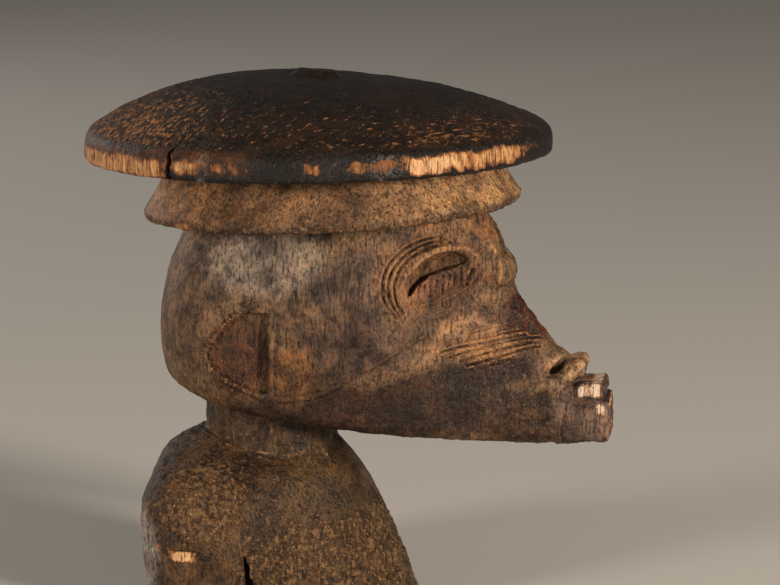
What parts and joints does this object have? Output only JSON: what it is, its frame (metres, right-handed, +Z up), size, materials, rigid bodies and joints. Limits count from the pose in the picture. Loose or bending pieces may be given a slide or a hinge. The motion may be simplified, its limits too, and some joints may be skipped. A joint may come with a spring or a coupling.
{
  "type": "carved wooden figure bust",
  "caption": "Carved wooden bust with a wide domed hat, long muzzle and rounded shoulders, standing on its flat sawn underside.",
  "frame": {"origin": "on the flat underside, below the middle of the neck", "axes": "+X is the way the face looks, +Y is the figure's left, +Z is up"},
  "size_m": [0.1321, 0.1164, 0.1339],
  "materials": {
    "patinated_wood": "dark oiled hardwood with worn edges and a dry crust"
  },
  "bodies": {
    "root": {"carved_rider_bust": "patinated_wood"}
  },
  "joints": []
}
